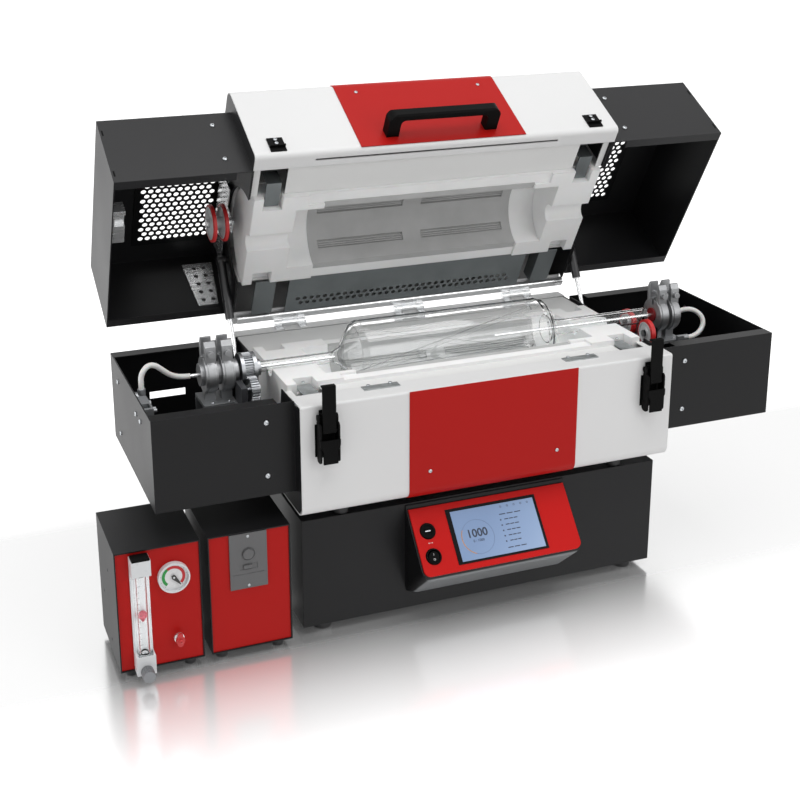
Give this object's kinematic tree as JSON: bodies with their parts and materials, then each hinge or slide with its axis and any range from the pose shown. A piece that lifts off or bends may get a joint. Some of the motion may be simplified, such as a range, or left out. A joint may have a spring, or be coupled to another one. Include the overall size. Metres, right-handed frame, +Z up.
{
  "type": "tube furnace",
  "caption": "Bench tube furnace with a hinged lid, a rotating quartz vessel on a geared drive, end boxes, control console and gas modules.",
  "frame": {"origin": "under the middle of the whole object, lid open, at the level that the feet stand on", "axes": "+X along the tube to the right, +Y towards the hinge at the back, +Z up"},
  "size_m": [1.196, 0.6125, 0.8566],
  "materials": {
    "black_paint": "fine black powder coat",
    "foot_rubber": "matt rubber",
    "dark_moulding": "dark grey moulding",
    "fascia_red": "red printed fascia",
    "display_glass": "glass over a lit display",
    "black_moulding": "black plastic",
    "white_paint": "fine white powder coat",
    "red_paint": "fine red powder coat",
    "liner_white": "white enamel",
    "fibre_board": "vacuum-formed ceramic fibre, chalky",
    "heater_grey": "hard moulded heater, matt grey",
    "galvanised": "galvanised sheet",
    "bright_steel": "bright steel",
    "bracket_steel": "zinc-plated sheet",
    "cast_aluminium": "satin aluminium",
    "seal_red": "red silicone rubber",
    "motor_grey": "black anodised",
    "gear_steel": "machined steel",
    "hose_silicone": "translucent white silicone",
    "quartz": "clear fused quartz",
    "roller_tyre": "red tyre on a grey hub",
    "strut_black": "black tube",
    "plate_grey": "grey painted plate",
    "clear_acrylic": "clear acrylic",
    "float_pink": "pink plastic",
    "needle_black": "black"
  },
  "bodies": {
    "furnace": {"base_case": "black_paint", "feet": "foot_rubber", "control_housing": "dark_moulding", "control_fascia": "fascia_red", "display": "display_glass", "power_fittings": "black_moulding", "lower_shell": "white_paint", "lower_red_band": "red_paint", "lower_boxes": "black_paint", "lower_liner": "liner_white", "lower_insulation": "fibre_board", "lower_heater": "heater_grey", "tie_brackets": "galvanised", "hinge_leaves": "bright_steel", "latch_bases": "black_moulding", "gland_brackets": "bracket_steel", "gland_tubes": "cast_aluminium", "clamp_rings": "cast_aluminium", "gland_seals": "seal_red", "drive_motor": "motor_grey", "probe_tubes": "bright_steel", "wall_fittings": "black_moulding", "gas_hose": "hose_silicone", "outlet_hose": "hose_silicone", "module_cases": "black_paint", "module_panels": "red_paint", "switch_plate": "plate_grey", "flowmeter_body": "bright_steel", "flowmeter_tube": "clear_acrylic", "gauge_body": "bright_steel", "valve_body": "bright_steel"},
    "rocker": {"power_rocker": "black_moulding"},
    "latch_lever_left": {"latch_lever_left": "black_moulding"},
    "latch_lever_right": {"latch_lever_right": "black_moulding"},
    "latch_hook_left": {"latch_hook_left": "black_moulding"},
    "latch_hook_right": {"latch_hook_right": "black_moulding"},
    "pinion": {"drive_pinion": "gear_steel"},
    "vessel": {"reaction_vessel": "quartz", "vessel_gear": "gear_steel"},
    "roller_front": {"support_roller_front": "roller_tyre"},
    "roller_rear": {"support_roller_rear": "roller_tyre"},
    "strut_rods": {"strut_rods": "bright_steel"},
    "strut_barrels": {"strut_barrels": "strut_black"},
    "lid": {"upper_shell": "white_paint", "upper_red_band": "red_paint", "lid_handle": "black_moulding", "latch_keepers": "black_moulding", "upper_liner": "liner_white", "upper_insulation": "fibre_board", "upper_heater": "heater_grey", "end_hoods": "black_paint", "hood_grilles": "black_paint", "vent_baffle": "galvanised", "hinge_rail": "cast_aluminium", "hood_fittings": "galvanised"},
    "idlers": {"idler_rollers": "roller_tyre"},
    "float": {"flow_float": "float_pink"},
    "flow_knob": {"flow_knob": "bracket_steel"},
    "needle": {"gauge_needle": "needle_black"},
    "valve": {"valve_lever": "fascia_red"}
  },
  "joints": [
    {"name": "lid_hinge", "type": "hinge", "parent": "furnace", "child": "lid", "pos_m": [0.036, 0.14904, 0.42], "axis": [1, 0, 0], "range_deg": [0, 60.5]},
    {"name": "idler_spin", "type": "hinge", "parent": "lid", "child": "idlers", "pos_m": [-0.33, 0.09855, 0.63271], "axis": [1, 0, 0], "continuous": true},
    {"name": "strut_turn", "type": "hinge", "parent": "furnace", "child": "strut_rods", "pos_m": [0.036, 0.06304, 0.37], "axis": [1, 0, 0], "range_deg": [0, 38.2]},
    {"name": "strut_slide", "type": "slide", "parent": "strut_rods", "child": "strut_barrels", "axis": [0, -0.465, -0.8853], "range_m": [0, 0.0797]},
    {"name": "latch_lever_left_swing", "type": "hinge", "parent": "furnace", "child": "latch_lever_left", "pos_m": [-0.257, -0.26046, 0.398], "axis": [1, 0, 0], "range_deg": [-120, 0]},
    {"name": "latch_hook_left_swing", "type": "hinge", "parent": "latch_lever_left", "child": "latch_hook_left", "pos_m": [-0.257, -0.26896, 0.378], "axis": [1, 0, 0], "range_deg": [0, 132.1]},
    {"name": "latch_lever_right_swing", "type": "hinge", "parent": "furnace", "child": "latch_lever_right", "pos_m": [0.329, -0.26046, 0.398], "axis": [1, 0, 0], "range_deg": [-120, 0]},
    {"name": "latch_hook_right_swing", "type": "hinge", "parent": "latch_lever_right", "child": "latch_hook_right", "pos_m": [0.329, -0.26896, 0.378], "axis": [1, 0, 0], "range_deg": [0, 132.1]},
    {"name": "vessel_turn", "type": "hinge", "parent": "furnace", "child": "vessel", "pos_m": [0.036, -0.06096, 0.42], "axis": [1, 0, 0], "range_deg": [-157.5, 157.5]},
    {"name": "pinion_turn", "type": "hinge", "parent": "furnace", "child": "pinion", "pos_m": [-0.33, -0.09993, 0.3975], "axis": [1, 0, 0], "range_deg": [-206.5, 206.5]},
    {"name": "roller_front_turn", "type": "hinge", "parent": "furnace", "child": "roller_front", "pos_m": [0.4203, -0.09446, 0.39851], "axis": [1, 0, 0], "range_deg": [-92, 92]},
    {"name": "roller_rear_turn", "type": "hinge", "parent": "furnace", "child": "roller_rear", "pos_m": [0.4203, -0.02746, 0.39851], "axis": [1, 0, 0], "range_deg": [-92, 92]},
    {"name": "rocker_tip", "type": "hinge", "parent": "furnace", "child": "rocker", "pos_m": [-0.0853, -0.28015, 0.13182], "axis": [1, 0, 0], "range_deg": [-16, 0]},
    {"name": "flow_knob_turn", "type": "hinge", "parent": "furnace", "child": "flow_knob", "pos_m": [-0.561, -0.27896, 0.024], "axis": [0, -1, 0], "range_deg": [0, 300]},
    {"name": "float_rise", "type": "slide", "parent": "furnace", "child": "float", "axis": [0, 0, 1], "range_m": [-0.05, 0.06]},
    {"name": "needle_turn", "type": "hinge", "parent": "furnace", "child": "needle", "pos_m": [-0.508, -0.25046, 0.166], "axis": [0, -1, 0], "range_deg": [-10, 260]},
    {"name": "valve_turn", "type": "hinge", "parent": "furnace", "child": "valve", "pos_m": [-0.504, -0.25696, 0.058], "axis": [0, -1, 0], "range_deg": [0, 90]}
  ],
  "couplings": [
    {"joint": "strut_turn", "follows": "lid_hinge", "ratio": 0.62976},
    {"joint": "strut_slide", "follows": "lid_hinge", "m_per_rad": 0.075375},
    {"joint": "latch_hook_left_swing", "follows": "latch_lever_left_swing", "ratio": -1.1},
    {"joint": "latch_hook_right_swing", "follows": "latch_lever_right_swing", "ratio": -1.1},
    {"joint": "pinion_turn", "follows": "vessel_turn", "ratio": -1.3077},
    {"joint": "roller_front_turn", "follows": "vessel_turn", "ratio": -0.58},
    {"joint": "roller_rear_turn", "follows": "vessel_turn", "ratio": -0.58}
  ]
}
